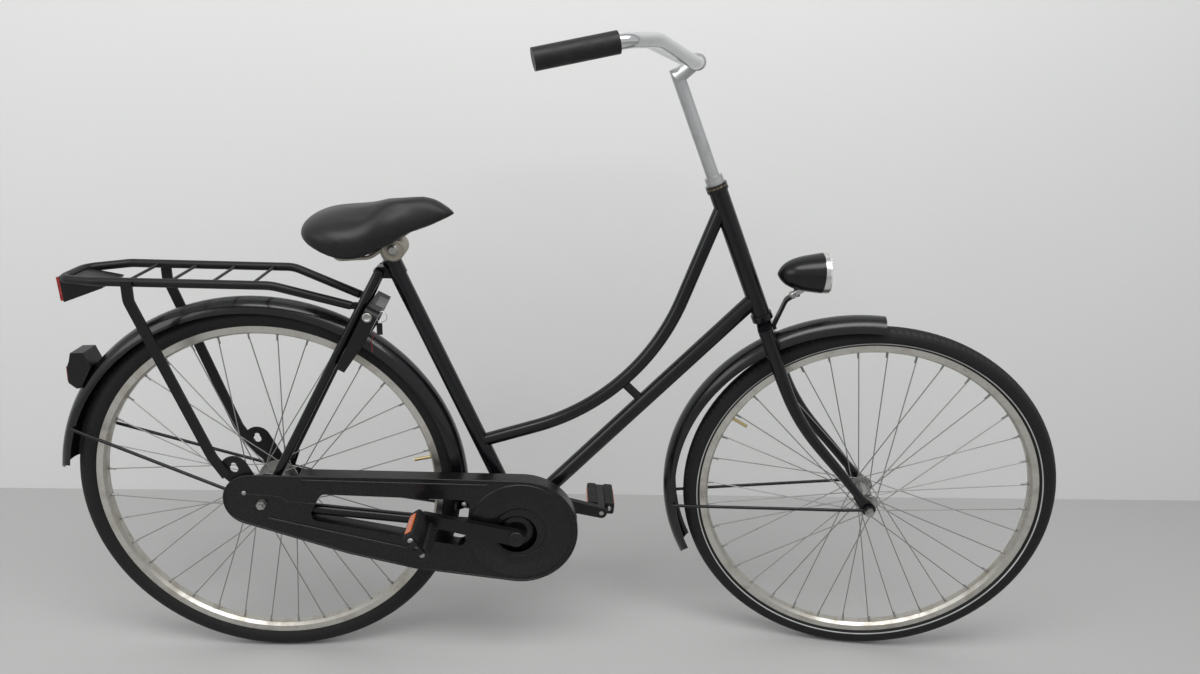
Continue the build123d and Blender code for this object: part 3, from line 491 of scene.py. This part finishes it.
finishes = {
    "rear_tyre": rearTyreRubber, "front_tyre": frontTyreRubber,
    "rear_rim": rearRimMetal, "front_rim": frontRimMetal,
    "rear_spokes": spokeSteel, "front_spokes": spokeSteel,
    "rear_hub": zinc, "front_hub": zinc, "rear_axle": zinc, "front_axle": zinc,
    "rear_valve": brass, "front_valve": brass,
    "chain_case": caseBlack, "rear_mudguard": guardBlack, "front_mudguard": guardBlack,
    "handlebar": chrome, "stem": alloy, "headset_nut": alloy,
    "grip_left": grip, "grip_right": grip,
    "saddle_clamp": rusty, "saddle_rails": rusty, "seat_post": zinc,
    "pedal_axles": zinc, "pedal_treads_left": treadRubber, "pedal_treads_right": treadRubber,
    "pedal_core_left": dullPlastic, "pedal_core_right": dullPlastic,
    "headlamp_shell": lampShell(lampLook), "headlamp_lens": lampGlass(lampLook),
    "carrier_reflector_housing": dullPlastic, "tail_lamp_housing": dullPlastic,
    "carrier_reflector_lens": redLens, "tail_lamp_lens": redLens,
    "ring_lock": satinBlack, "lamp_bracket": satinBlack, "crank_arms": satinBlack,
    "carrier_rack": satinBlack, "carrier_stays": satinBlack, "carrier_hook_plates": satinBlack,
}
for name, thing in nodes.items():
    thing.data.materials.clear()
    thing.data.materials.append(finishes.get(name, black))
print("finishes on", len(nodes), "nodes")

# Mesh building


def turnTo(place, axis):
    return Matrix.Translation(place) @ axis.to_track_quat("Z", "Y").to_matrix().to_4x4()


class Shape:
    def __init__(self):
        self.mesh = bmesh.new()

    def lathe(self, profile, matrix, sides=32, smooth=True):
        rings = []
        for radius, height in profile:
            ring = []
            for number in range(sides):
                turn = 2 * pi * number / sides
                point = Vector((radius * cos(turn), radius * sin(turn), height))
                ring.append(self.mesh.verts.new(matrix @ point))
            rings.append(ring)
        for low, high in zip(rings, rings[1:]):
            for number in range(sides):
                following = (number + 1) % sides
                corners = (low[number], low[following], high[following], high[number])
                self.mesh.faces.new(corners).smooth = smooth
        for ring in (rings[0][::-1], rings[-1]):
            self.mesh.faces.new(ring)

    def block(self, size, matrix, bevel, segments=3):
        made = bmesh.ops.create_cube(self.mesh, size=1.0)
        bmesh.ops.scale(self.mesh, vec=size, verts=made["verts"])
        edges = {edge for vert in made["verts"] for edge in vert.link_edges}
        made = bmesh.ops.bevel(
            self.mesh, geom=list(edges), offset=bevel, segments=segments,
            profile=0.5, affect="EDGES",
        )
        corners = {vert for face in made["faces"] for vert in face.verts}
        bmesh.ops.transform(self.mesh, matrix=matrix, verts=list(corners))

    def hexBolt(self, place, axis, across, height):
        matrix = turnTo(place, axis)
        reach = across / 2 / cos(pi / 6)
        washer = [(reach * 1.25, -0.0004), (reach * 1.25, 0.0010), (reach * 0.6, 0.0012)]
        head = [(reach, 0.0010), (reach, height * 0.85), (reach * 0.88, height)]
        self.lathe(washer, matrix, 28)
        self.lathe(head, matrix, 6, False)

    def dome(self, place, axis, radius, height):
        profile = [(radius, -0.0004)]
        for angle in (0, 0.4, 0.8, 1.15, 1.4):
            profile.append((radius * cos(angle), height * sin(angle)))
        self.lathe(profile, turnTo(place, axis), 24)

    def done(self, name, body, slot, material):
        data = bpy.data.meshes.new(name)
        bmesh.ops.recalc_face_normals(self.mesh, faces=self.mesh.faces)
        self.mesh.to_mesh(data)
        self.mesh.free()
        data.materials.append(material)
        thing = bpy.data.objects.new(name, data)
        scene.collection.objects.link(thing)
        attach(thing, body)
        return thing


def bead(name, paths, radius, body, material, closed=False):
    data = bpy.data.curves.new(name, "CURVE")
    data.dimensions = "3D"
    data.bevel_depth = radius
    data.bevel_resolution = 3
    data.use_fill_caps = True
    for path in paths:
        line = data.splines.new("POLY")
        line.points.add(len(path) - 1)
        for point, place in zip(line.points, path):
            point.co = (*place, 1)
        line.use_cyclic_u = closed
        line.use_smooth = True
    data.materials.append(material)
    thing = bpy.data.objects.new(name, data)
    scene.collection.objects.link(thing)
    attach(thing, body)
    return thing


# The chain case's pressed discs, ribs, rolled edges and rivets

caseDetail = {
    "disc": ((97.0, 0.0), (94.5, 1.0), (72.5, 1.0), (70.5, 2.0), (50.0, 2.0), (47.5, 0.4)),
    "discShift": (6.0, 5.0),
    "discBack": -0.5,
    "discSides": 96,
    "plate": (
        (36.0, -9.0), (36.0, -7.5), (27.0, -7.0), (25.0, -5.6),
        (20.0, -5.2), (18.0, -6.4), (14.0, -6.6),
    ),
    "upperRib": ((73, 47), (402, 41)),
    "lowerRib": ((9, -30), (256, -90)),
    "ribRadius": 0.0026,
    "ribLift": 0.2,
    "seam": ((-38, 20), (34, 13), (45, 3.5), (120, -1.5)),
    "seamRadius": 0.0009,
    "rivets": ((-31, 20), (360, 2)),
    "rivetSize": (0.0042, 0.0016),
    "rolls": ((-19, 6, 50), (170.1, -25.5, 80.5), (290.0, -41.0, 95.0), (464, -55, 105)),
    "rollInset": 2.2,
    "rollSink": -0.6,
    "rollRadius": 0.0021,
}


def outlineRound(rounds, inset, samples=72):
    # the convex outline round several circles, as points in order
    points = []
    for x, z, radius in rounds:
        for number in range(samples):
            turn = 2 * pi * number / samples
            points.append((x + (radius - inset) * cos(turn), z + (radius - inset) * sin(turn)))
    points.sort()

    def chain(ordered):
        kept = []
        for point in ordered:
            while len(kept) > 1:
                (ax, az), (bx, bz) = kept[-2], kept[-1]
                if (bx - ax) * (point[1] - az) - (bz - az) * (point[0] - ax) > 0:
                    break
                kept.pop()
            kept.append(point)
        return kept[:-1]

    return chain(points) + chain(points[::-1])


def onCase(x, z, out=0.0):
    return Vector((rearHub.x + x / 1000, caseFace - out / 1000, rearHub.z + z / 1000))


def inMetres(profile):
    return [(radius / 1000, height / 1000) for radius, height in profile]


def addCaseBead(name, points, radius, closed=False):
    bead(name, points, radius, "frame", caseBlack, closed)


def addCaseDetail(look):
    outward = Vector((0, -1, 0))
    shiftX, shiftZ = look["discShift"]
    centre = Vector((crankHub.x + shiftX / 1000, caseFace, crankHub.z + shiftZ / 1000))
    # the pressed disc is a closed ring, so its profile runs back to its own start
    disc, sides = Shape(), look["discSides"]
    first, last = look["disc"][0], look["disc"][-1]
    profile = ((first[0], look["discBack"]), *look["disc"], (last[0], look["discBack"]))
    matrix = turnTo(centre, outward)
    rings = []
    for radius, height in inMetres(profile):
        ring = []
        for number in range(sides):
            turn = 2 * pi * number / sides
            point = Vector((radius * cos(turn), radius * sin(turn), height))
            ring.append(disc.mesh.verts.new(matrix @ point))
        rings.append(ring)
    for low, high in zip(rings, rings[1:] + rings[:1]):
        for number in range(sides):
            following = (number + 1) % sides
            corners = (low[number], low[following], high[following], high[number])
            disc.mesh.faces.new(corners).smooth = True
    disc.done("chainCaseDisc", "frame", "black_paint", caseBlack)
    plate = Shape()
    spot = Vector((crankHub.x, caseFace, crankHub.z))
    plate.lathe(inMetres(look["plate"]), turnTo(spot, outward), 64)
    plate.done("crankPlate", "crankset", "black_paint", caseBlack)
    ribs = [
        [onCase(x, z, look["ribLift"]) for x, z in look[key]] for key in ("upperRib", "lowerRib")
    ]
    addCaseBead("chainCaseRibs", ribs, look["ribRadius"])
    addCaseBead("chainCaseSeam", [[onCase(x, z) for x, z in look["seam"]]], look["seamRadius"])
    outline = outlineRound(look["rolls"], look["rollInset"])
    rolled = [onCase(x, z, look["rollSink"]) for x, z in outline]
    addCaseBead("chainCaseRoll", [rolled], look["rollRadius"], closed=True)
    rivets = Shape()
    for x, z in look["rivets"]:
        rivets.dome(onCase(x, z), outward, *look["rivetSize"])
    rivets.done("chainCaseRivets", "frame", "zinc_steel", zinc)


addCaseDetail(caseDetail)
print("chain case detailed")

# Spoke nipples on both rims

nippleLook = {
    "count": 36,
    "inner": 0.2872,
    "outer": 0.3004,
    "tip": 0.0011,
    "root": 0.0016,
    "head": 0.0023,
    "side": 0.0022,
    "sides": 8,
}


def addNipples(name, centre, axis, body, phase, look):
    ahead = Vector((axis.y, -axis.x, 0)).normalized()
    up = ahead.cross(axis)
    shape = Shape()
    length, root, head = look["outer"] - look["inner"], look["root"], look["head"]
    profile = [
        (look["tip"], 0), (root, 0.001), (root, length * 0.7),
        (head, length * 0.75), (head, length),
    ]
    for number in range(look["count"]):
        turn = radians(phase) + 2 * pi * number / look["count"]
        way = ahead * cos(turn) + up * sin(turn)
        shift = axis * look["side"] * (1 if number % 2 else -1)
        place = centre + way * look["inner"] + shift
        shape.lathe(profile, turnTo(place, way), look["sides"])
    shape.done(name, body, "brass", spokeSteel)


addNipples("rearNipples", rearHub, acrossLeft, "rear_wheel", 4.5, nippleLook)
addNipples("frontNipples", frontHub, frontSpin, "front_wheel", 0.0, nippleLook)
print("nipples on")

# The padded saddle stands for the plain CAD pad

saddleLook = {
    "colour": (0.0048, 0.0048, 0.0056),
    "worn": (0.0120, 0.0115, 0.0120),
    "roughness": 0.36,
    "voxel": 0.0045,
    "pressure": 3.0,
    "stiffness": 25,
    "bending": 6,
    "cap": 0.0035,
    "frames": 14,
    "soften": 6,
    "relax": 3,
    "pebbles": 780.0,
    "creases": 28.0,
}


def saddleVinyl(look):
    graph = Graph("saddleVinyl")
    worn = graph.noise(14.0, 4.0).step(0.4, 0.75)
    pebble = graph.cells(look["pebbles"]) + graph.noise(1500.0) * 0.4
    crease = graph.noise(look["creases"], 6.0, roughness=0.6)
    colour = graph.mix(worn * 0.5, look["colour"], look["worn"])
    rough = look["roughness"] + pebble * 0.10 + worn * 0.08
    rough = rough - graph.upward().step(0.5, 1.0) * 0.06
    height = pebble * 0.5 + crease * 1.2
    return graph.set(
        Base_Color=colour, Roughness=rough, Specular_IOR_Level=0.38,
        Normal=graph.bump(height, 0.00035, 0.55),
    )


def addSaddle(look):
    source = nodes["saddle_pad"]
    pad = bpy.data.objects.new("saddleCover", source.data.copy())
    scene.collection.objects.link(pad)
    pad.data.materials.clear()
    pad.data.materials.append(saddleVinyl(look))
    bpy.context.view_layer.objects.active = pad
    bpy.ops.object.select_all(action="DESELECT")
    pad.select_set(True)
    remesh = pad.modifiers.new("remesh", "REMESH")
    remesh.mode = "VOXEL"
    remesh.voxel_size = look["voxel"]
    soften = pad.modifiers.new("soften", "SMOOTH")
    soften.iterations = look["soften"]
    soften.factor = 0.5
    bpy.ops.object.modifier_apply(modifier="remesh")
    bpy.ops.object.modifier_apply(modifier="soften")
    start = [vert.co.copy() for vert in pad.data.vertices]
    cloth = pad.modifiers.new("fill", "CLOTH")
    cloth.settings.use_pressure = True
    cloth.settings.uniform_pressure_force = look["pressure"]
    cloth.settings.tension_stiffness = look["stiffness"]
    cloth.settings.compression_stiffness = look["stiffness"]
    cloth.settings.bending_stiffness = look["bending"]
    cloth.settings.effector_weights.gravity = 0
    for number in range(1, look["frames"] + 1):
        scene.frame_set(number)
    graph = bpy.context.evaluated_depsgraph_get()
    swollen = [vert.co.copy() for vert in pad.evaluated_get(graph).data.vertices]
    pad.modifiers.remove(cloth)
    for vert, before, after in zip(pad.data.vertices, start, swollen):
        move = after - before
        if move.length > look["cap"]:
            move.length = look["cap"]
        vert.co = before + move
    relax = pad.modifiers.new("relax", "SMOOTH")
    relax.iterations = look["relax"]
    relax.factor = 0.5
    bpy.ops.object.modifier_apply(modifier="relax")
    finer = pad.modifiers.new("finer", "SUBSURF")
    finer.levels = 1
    finer.render_levels = 1
    bpy.ops.object.modifier_apply(modifier="finer")
    for face in pad.data.polygons:
        face.use_smooth = True
    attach(pad, "frame")
    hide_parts("saddle_pad")
    return pad


addSaddle(saddleLook)
print("saddle covered")

# Rings and bolt on the saddle clamp

clampLook = {
    "rings": (
        (19.5, 0.0), (19.5, 1.2), (16.5, 1.6), (15.0, 0.8), (12.5, 0.8), (11.2, 1.8), (9.0, 1.8),
    ),
    "rise": 0.020,
    "boltSink": 0.0014,
    "bolt": (0.013, 0.0055),
}


def addClampRings(look):
    low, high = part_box("saddle_clamp")
    centre = (low + high) / 2
    rings, bolts = Shape(), Shape()
    for side, place in ((1, high.y), (-1, low.y)):
        spot = Vector((centre.x, place, low.z + look["rise"]))
        way = acrossLeft * side
        rings.lathe(inMetres(look["rings"]), turnTo(spot, way), 40)
        bolts.hexBolt(spot + way * look["boltSink"], way, *look["bolt"])
    rings.done("clampRings", "frame", "zinc_steel", rusty)
    bolts.done("clampBolts", "frame", "zinc_steel", zinc)


addClampRings(clampLook)

# Bolts, caps and small fittings


pedalLook = {
    "tilts": (("right", 56.0), ("left", 4.0)),
    "reflector": (0.0030, 0.060, 0.0130),
    "reflectorAhead": 0.0272,
    "reflectorRound": 0.0012,
    "studPlace": (0.0165, 0.0422),
    "studSize": (0.0052, 0.0022),
}


def addPedalDetail(look):
    studAhead, studReach = look["studPlace"]
    for side, tilt in look["tilts"]:
        centre = middle("pedal_core_" + side)
        turn = Matrix.Translation(centre) @ Matrix.Rotation(radians(tilt), 4, "Y")
        amber = Shape()
        for end in (-1, 1):
            spot = turn @ Matrix.Translation((end * look["reflectorAhead"], 0, 0))
            amber.block(look["reflector"], spot, look["reflectorRound"])
        amber.done("pedalReflectors_" + side, "pedal_" + side, "rubber", amberLens)
        studs = Shape()
        for end in (-1, 1):
            for reach in (-1, 1):
                spot = turn @ Vector((end * studAhead, reach * studReach, 0))
                studs.dome(spot, acrossLeft * reach, *look["studSize"])
        studs.done("pedalStuds_" + side, "pedal_" + side, "zinc_steel", zinc)


addPedalDetail(pedalLook)

crankLook = {
    "cap": ((15.0, -0.5), (15.0, 1.0), (12.8, 2.6), (8.0, 3.0), (7.0, 1.8), (2.0, 1.8)),
}


def addCrankCaps(look):
    low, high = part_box("crank_arms")
    caps = Shape()
    for sign, face in ((-1, low.y), (1, high.y)):
        spot = Vector((crankHub.x, face, crankHub.z))
        caps.lathe(inMetres(look["cap"]), turnTo(spot, acrossLeft * sign), 36)
    caps.done("crankCaps", "crankset", "black_plastic", dullPlastic)


addCrankCaps(crankLook)

fittingLook = {
    "headRing": ((17.6, 0.0), (19.0, 1.2), (19.0, 4.4), (17.2, 5.6)),
    "headRingSink": 0.0020,
    "earPlace": (212.5, 416.0),
    "earReach": 0.0215,
    "earBolt": (0.009, 0.0045),
    "link": (0.026, 0.010, 0.010),
    "linkRound": 0.002,
    "linkPlace": 0.38,
    "linkRise": 0.0005,
    "linkTurn": -34,
    "linkEnd": -0.36,
    "linkBolt": (0.0075, 0.0040),
}


def besideFrame(place, side):
    return Vector((rearHub.x + place[0] / 1000, side, rearHub.z + place[1] / 1000))


def addFittings(look):
    # the ring under the headset nut, the bolts at the seat ears and under the lamp
    low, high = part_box("headset_nut")
    sink = (high.z - low.z) / 2 + look["headRingSink"]
    foot = (low + high) / 2 - steerUp * sink
    ring = Shape()
    ring.lathe(inMetres(look["headRing"]), turnTo(foot, steerUp), 40)
    ring.done("headsetRing", "frame", "brass", brass)
    bolts = Shape()
    for way in (acrossLeft, -acrossLeft):
        spot = besideFrame(look["earPlace"], way.y * look["earReach"])
        bolts.hexBolt(spot, way, *look["earBolt"])
    bolts.done("seatEarBolts", "frame", "zinc_steel", zinc)
    low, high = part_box("headlamp_shell")
    spot = low.lerp(high, look["linkPlace"])
    spot.y, spot.z = (low.y + high.y) / 2, low.z + look["linkRise"]
    tilt = Matrix.Rotation(radians(look["linkTurn"]), 4, "Y")
    link, pin = Shape(), Shape()
    link.block(look["link"], Matrix.Translation(spot) @ tilt, look["linkRound"])
    link.done("lampLink", "steering", "alloy", alloy)
    end = spot + tilt @ Vector((look["link"][0] * look["linkEnd"], 0, 0))
    for way in (acrossLeft, -acrossLeft):
        pin.hexBolt(end + way * look["link"][1] / 2, way, *look["linkBolt"])
    pin.done("lampLinkBolt", "steering", "zinc_steel", zinc)


addFittings(fittingLook)

# The ring lock's key, barrel and cap

keyLook = {
    "inset": 0.016,
    "place": (217.0, 326.0),
    "size": (0.010, 0.0022, 0.021),
    "round": 0.0008,
    "ringPlace": (221.0, 348.0),
    "ringRadius": 0.0095,
    "ringWire": 0.0006,
    "thread": ((208, 318), (202, 305), (203, 283)),
    "threadRadius": 0.0007,
}


def addKey(look):
    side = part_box("ring_lock")[0].y + look["inset"]
    key = Shape()
    spot = Matrix.Translation(besideFrame(look["place"], side))
    key.block(look["size"], spot, look["round"])
    key.done("lockKey", "frame", "black_plastic", dullPlastic)
    centre, reach = besideFrame(look["ringPlace"], side), look["ringRadius"]
    turns = [number * pi / 16 for number in range(32)]
    loop = [centre + Vector((reach * cos(turn), 0, reach * sin(turn))) for turn in turns]
    bead("keyRing", [loop], look["ringWire"], "frame", chrome, closed=True)
    thread = [besideFrame(place, side) for place in look["thread"]]
    bead("keyThread", [thread], look["threadRadius"], "frame", redLens)


addKey(keyLook)

lockLook = {
    "stayWay": (0.455, 0, 0.891),
    "barrelPlace": (0.403, 0.0185),
    "barrel": ((8.5, -1.0), (8.5, 1.2), (7.2, 2.0), (5.0, 2.0), (4.5, 0.8), (1.5, 0.8)),
    "capPlace": (0.4176, 0.0265),
    "cap": (0.0035, 0.052, 0.017),
    "capRound": 0.0015,
}


def addLockDetail(look):
    # places on the lock are measured along the seat stays and ahead of them
    along = Vector(look["stayWay"]).normalized()
    ahead = Vector((along.z, 0, -along.x))

    def onLock(place):
        return rearHub + along * place[0] + ahead * place[1]

    barrel, cap = Shape(), Shape()
    spot = onLock(look["barrelPlace"])
    spot.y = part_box("ring_lock")[0].y
    barrel.lathe(inMetres(look["barrel"]), turnTo(spot, Vector((0, -1, 0))), 32)
    barrel.done("lockBarrel", "frame", "zinc_steel", zinc)
    turn = Matrix((along, acrossLeft, ahead)).transposed().to_4x4()
    turn.translation = onLock(look["capPlace"])
    cap.block(look["cap"], turn, look["capRound"])
    cap.done("lockCap", "frame", "black_plastic", greyPlastic)


addLockDetail(lockLook)
print("fittings on")

# The camera stands on the chain side, ahead of the cranks and above the saddle

viewFrom = {
    "place": (0.32278, -1.485, 0.26083),
    "yaw": -3.36,
    "pitch": -18.07,
    "roll": -2.24,
    "lens": 26.007,
    "sensor": 36.0,
    "near": 0.05,
}


def addCamera(look):
    data = bpy.data.cameras.new("viewCamera")
    data.lens = look["lens"]
    data.sensor_width = look["sensor"]
    data.clip_start = look["near"]
    camera = bpy.data.objects.new("viewCamera", data)
    scene.collection.objects.link(camera)
    turn = Matrix.Rotation(radians(look["yaw"]), 4, "Z")
    turn = turn @ Matrix.Rotation(radians(90 + look["pitch"]), 4, "X")
    turn = turn @ Matrix.Rotation(radians(-look["roll"]), 4, "Z")
    camera.matrix_world = Matrix.Translation(look["place"]) @ turn
    scene.camera = camera


addCamera(viewFrom)

studio = {
    "floor": (0.43, 0.43, 0.425),
    "wall": (0.70, 0.705, 0.695),
    "size": 16,
    "middle": 0.3,
    "wallPlace": 0.62,
    "floorRoughness": 0.5,
    "wallRoughness": 0.6,
    "worldColour": (0.98, 0.99, 1.0),
    "worldStrength": 0.62,
    "aim": (0.3, 0, -0.4),
    "lamps": (
        ("keyLight", (0.4, -1.3, 2.0), (3.2, 1.1), 62.0),
        ("fillLight", (-2.4, -1.6, 0.9), (1.5, 1.5), 16.0),
    ),
}


def stagePlain(name, colour, roughness):
    graph = Graph(name)
    patch = graph.noise(1.3, 3.0).step(0.3, 0.8) * 0.06
    darker = tuple(value * 0.8 for value in colour)
    return graph.set(Base_Color=graph.mix(patch, colour, darker), Roughness=roughness)


def addStage(name, place, turn, material):
    bpy.ops.mesh.primitive_plane_add(size=studio["size"], location=place, rotation=turn)
    plane = bpy.context.object
    plane.name = name
    plane.data.materials.append(material)
    return plane


def addStudio(look):
    floorPaint = stagePlain("paleFloor", look["floor"], look["floorRoughness"])
    wallPaint = stagePlain("paleWall", look["wall"], look["wallRoughness"])
    floorPlace, wallPlace = (look["middle"], 0, groundHeight), (look["middle"], look["wallPlace"], 0)
    floor = addStage("studioFloor", floorPlace, (0, 0, 0), floorPaint)
    wall = addStage("studioWall", wallPlace, (radians(90), 0, 0), wallPaint)
    world = bpy.data.worlds.new("studioWorld")
    scene.world = world
    world.use_nodes = True
    back = world.node_tree.nodes["Background"]
    back.inputs["Color"].default_value = (*look["worldColour"], 1)
    back.inputs["Strength"].default_value = look["worldStrength"]
    for name, place, size, power in look["lamps"]:
        data = bpy.data.lights.new(name, "AREA")
        data.shape = "RECTANGLE"
        data.size, data.size_y = size
        data.energy = power
        lamp = bpy.data.objects.new(name, data)
        scene.collection.objects.link(lamp)
        aim = Vector(look["aim"]) - Vector(place)
        turn = aim.to_track_quat("-Z", "Y").to_matrix().to_4x4()
        lamp.matrix_world = Matrix.Translation(place) @ turn


addStudio(studio)
scene.view_settings.view_transform = "Standard"
print("studio ready")
